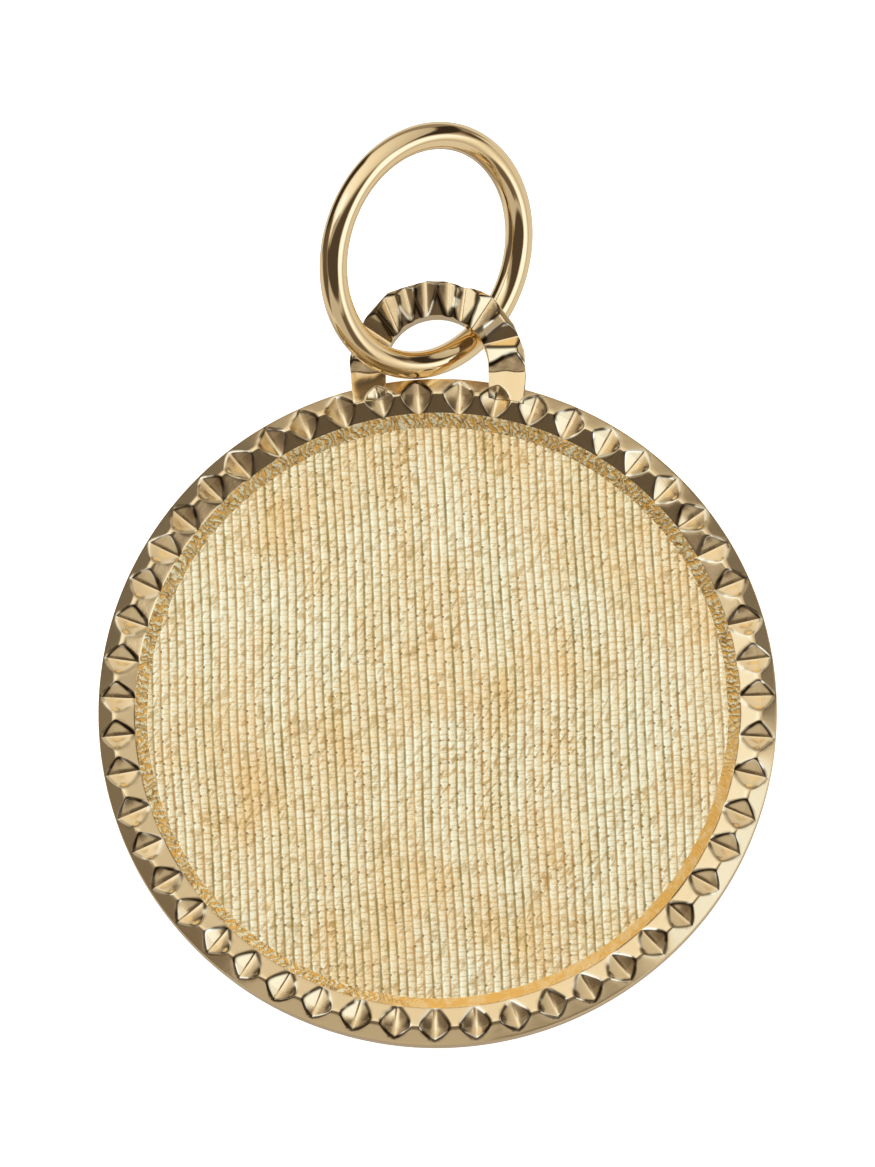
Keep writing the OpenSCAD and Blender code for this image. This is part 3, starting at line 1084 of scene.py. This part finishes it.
def engraved_gold():
    """Gold with painted cream highlights on beaded ridges, painted olive and rusty shade in the grooves and
    gaps, painted shade in dots, and patches of chips.

    The attribute gives u, the place across the lines, whole in each groove, and v, the
    millimetres along them. White noise on the number of a line or of a bead picks a tone
    for it, and smooth noise makes patches.
    """
    material, graph = new_material("engraved_gold")
    place = graph.add("TexCoord", {}, {}, "Object")
    lines_at = graph.add("Attribute", {"attribute_name": "lines"}, {}, "Vector")
    u, v = (graph.add("SeparateXYZ", {}, {0: lines_at}, k) for k in (0, 1))

    def luck(a, b=0.0):
        """A number between 0 and 1 for each pair of whole numbers."""
        pair = graph.add("CombineXYZ", {}, {0: a, 1: b})
        return graph.add("TexWhiteNoise", {"noise_dimensions": "2D"}, {"Vector": pair})

    def along_noise(number, scale, detail=2.0):
        """Smooth noise along each line, new for every line."""
        return graph.noise(graph.add("CombineXYZ", {}, {0: number * 7.3, 1: v * scale}), 1.0, detail)

    def stretched(vector, share):
        """A place with its y scaled down, so that a pattern on it is drawn out along y."""
        return graph.add("VectorMath", {"operation": "MULTIPLY"}, {0: vector, 1: (1.0, share, 1.0)})

    grain = graph.noise(place, GRAIN_SCALE, 2.0, 0.6)
    clots = graph.noise(place, CLOT_SCALE, 2.0, 0.6)
    patches = graph.noise(stretched(place, 0.45), PATCH_SCALE, 2.0)
    dull = graph.step(patches, 0.5, 0.75)
    ridge = graph.maths("FLOOR", u)
    groove = graph.maths("ROUND", u)
    from_ridge = graph.maths("ABSOLUTE", u - ridge - 0.5) * 2

    # The strokes of the graver, and the beads between them
    stroke = along_noise(groove, 2.2)
    depth = graph.step(from_ridge + (stroke - 0.5) * 0.35 + (clots - 0.5) * 0.35, 0.62, 0.92)
    hue = graph.step(luck(groove) * 0.6 + along_noise(groove + 40.5, 0.5) * 0.8, 0.55, 0.85)
    bead_at = v / BEAD_PITCH + luck(ridge) * 9 + along_noise(ridge, 2.5) * 2.4
    bead = graph.maths("FLOOR", bead_at)
    bead_off = graph.maths("ABSOLUTE", bead_at - bead - 0.5) * 2
    spread = graph.maths("SQRT", bead_off * bead_off + from_ridge * from_ridge * 1.1)
    bead_and_glint = graph.step(spread + (clots - 0.5) * 0.5, 1.15, 0.45) * (0.35 + luck(ridge, bead) * 0.65)
    gap = graph.step(bead_off + (clots - 0.5) * 0.8, 0.62, 0.95) * (0.2 + luck(bead, ridge) * 0.8)

    # Tan to cream: a painted highlight on each bead, and tone that differs by ridge and in slow clouds
    ridge_tone = (along_noise(ridge + 0.5, 0.7) - 0.5) * 0.9
    slow = (graph.noise(place, SLOW_SCALE, 2.0) - 0.5) * 2.7
    tone = 0.56 + bead_and_glint * 0.4 + ridge_tone + slow + (grain - 0.5) * 3.2 - dull * 0.4
    colour = graph.mix(graph.add("Clamp", {}, {"Value": tone}), TAN, BEAD_HIGHLIGHT)

    # Chips, painted shade in the gaps between beads and in the grooves, and painted shade in the dark dots
    # beside them
    slant = graph.add("VectorRotate", {"rotation_type": "Z_AXIS"}, {"Vector": place, "Angle": CHIP_TURN})
    chips = graph.step(graph.noise(stretched(slant, 0.35), CHIP_SCALE, 1.0), 0.54, 0.64)
    colour = graph.mix(chips * (0.55 + dull * 0.35), colour, ORANGE)
    colour = graph.mix(gap * 0.55, colour, graph.mix(luck(bead, ridge + 0.5), OLIVE_SHADE, RUSTY_SHADE))
    colour = graph.mix(depth * (0.5 + stroke * 0.65), colour, graph.mix(hue, OLIVE_SHADE, RUSTY_SHADE))
    dot_at = v / DOT_PITCH + luck(groove, 3.0) * 5
    dot = graph.maths("FLOOR", dot_at)
    dot_off = graph.maths("ABSOLUTE", dot_at - dot - 0.5) * (DOT_PITCH / DOT_R)
    side_off = graph.maths("ABSOLUTE", u - groove - DOT_ASIDE) * (LINE_PITCH / DOT_R)
    dots = graph.step(dot_off * dot_off + side_off * side_off, 1.3, 0.5)
    dots = dots * graph.step(luck(groove, dot) * 0.5 + patches, 0.8, 0.9)
    colour = graph.mix(dots * 0.8, colour, DOT_SHADE)

    height = bead_and_glint * 0.25 + clots * 0.7 - depth * 0.4 - dots * 0.6 - chips * dull * 0.4
    bump = graph.add("Bump", {}, {"Strength": 0.35, "Distance": FACE_DEPTH, "Height": height})
    shader = graph.add("BsdfPrincipled", {}, {
        "Base Color": colour, "Metallic": 1.0, "Roughness": 0.24, "Normal": bump,
    })
    graph.add("OutputMaterial", {}, {"Surface": shader})
    return material


plate.data.materials.append(engraved_gold())
print("nodes in the engraved gold:", len(plate.data.materials[0].node_tree.nodes))

# %% [markdown]
# ## The table and its lamps
# The charm lies on a white sheet that is lit from above until it is pure white in the
# picture. The gold must not mirror those lamps, so they and the sheet are kept out of its
# reflections: below the horizon it sees the studio's own table light.

# %% Table
TABLE_R = 3.0
TABLE_SIDES = 96
FLOOR_GAP = 0.00001
SHEET_WHITE = (0.86, 0.86, 0.86, 1.0)
SHEET_LIT = (1.0, 1.0, 1.0, 1.0)
SHEET_GLOW = 0.85

table_mesh = bpy.data.meshes.new("table")
table_turn = np.linspace(0, 2 * math.pi, TABLE_SIDES, endpoint=False)
table_z = min(cad_box[0].z, 0.0) - FLOOR_GAP
table_ring = TABLE_R * np.stack([np.cos(table_turn), np.sin(table_turn)], -1)
table_points = np.column_stack([table_ring, np.full(TABLE_SIDES, table_z)])
table_mesh.from_pydata(table_points.tolist(), [], [list(range(TABLE_SIDES))])
table = bpy.data.objects.new("table", table_mesh)
bpy.context.scene.collection.objects.link(table)
table.visible_glossy = False

sheet, sheet_graph = new_material("white_sheet")
sheet_shader = sheet_graph.add("BsdfPrincipled", {}, {
    "Base Color": SHEET_WHITE, "Roughness": 0.9, "Specular IOR Level": 0.0,
    "Emission Color": SHEET_LIT, "Emission Strength": SHEET_GLOW,
})
sheet_graph.add("OutputMaterial", {}, {"Surface": sheet_shader})
table_mesh.materials.append(sheet)
print("the table lies at", round(table_z / MM, 3), "mm")

# %% Lamps
LAMP_SIZE = 0.4
# name, place in metres, power in watts
LAMPS = [("key", (-0.25, 0.3, 0.5), 1.2), ("fill", (0.3, -0.25, 0.5), 0.8)]

for lamp_name, lamp_at, lamp_power in LAMPS:
    lamp_data = bpy.data.lights.new(lamp_name, "AREA")
    lamp_data.shape = "DISK"
    lamp_data.size = LAMP_SIZE
    lamp_data.energy = lamp_power
    lamp = bpy.data.objects.new(lamp_name, lamp_data)
    lamp.location = lamp_at
    lamp.rotation_euler = (-Vector(lamp_at)).to_track_quat("-Z", "Y").to_euler()
    lamp.visible_glossy = False
    bpy.context.scene.collection.objects.link(lamp)

bpy.context.scene.view_settings.view_transform = "Standard"
print("lamps:", [lamp[0] for lamp in LAMPS])
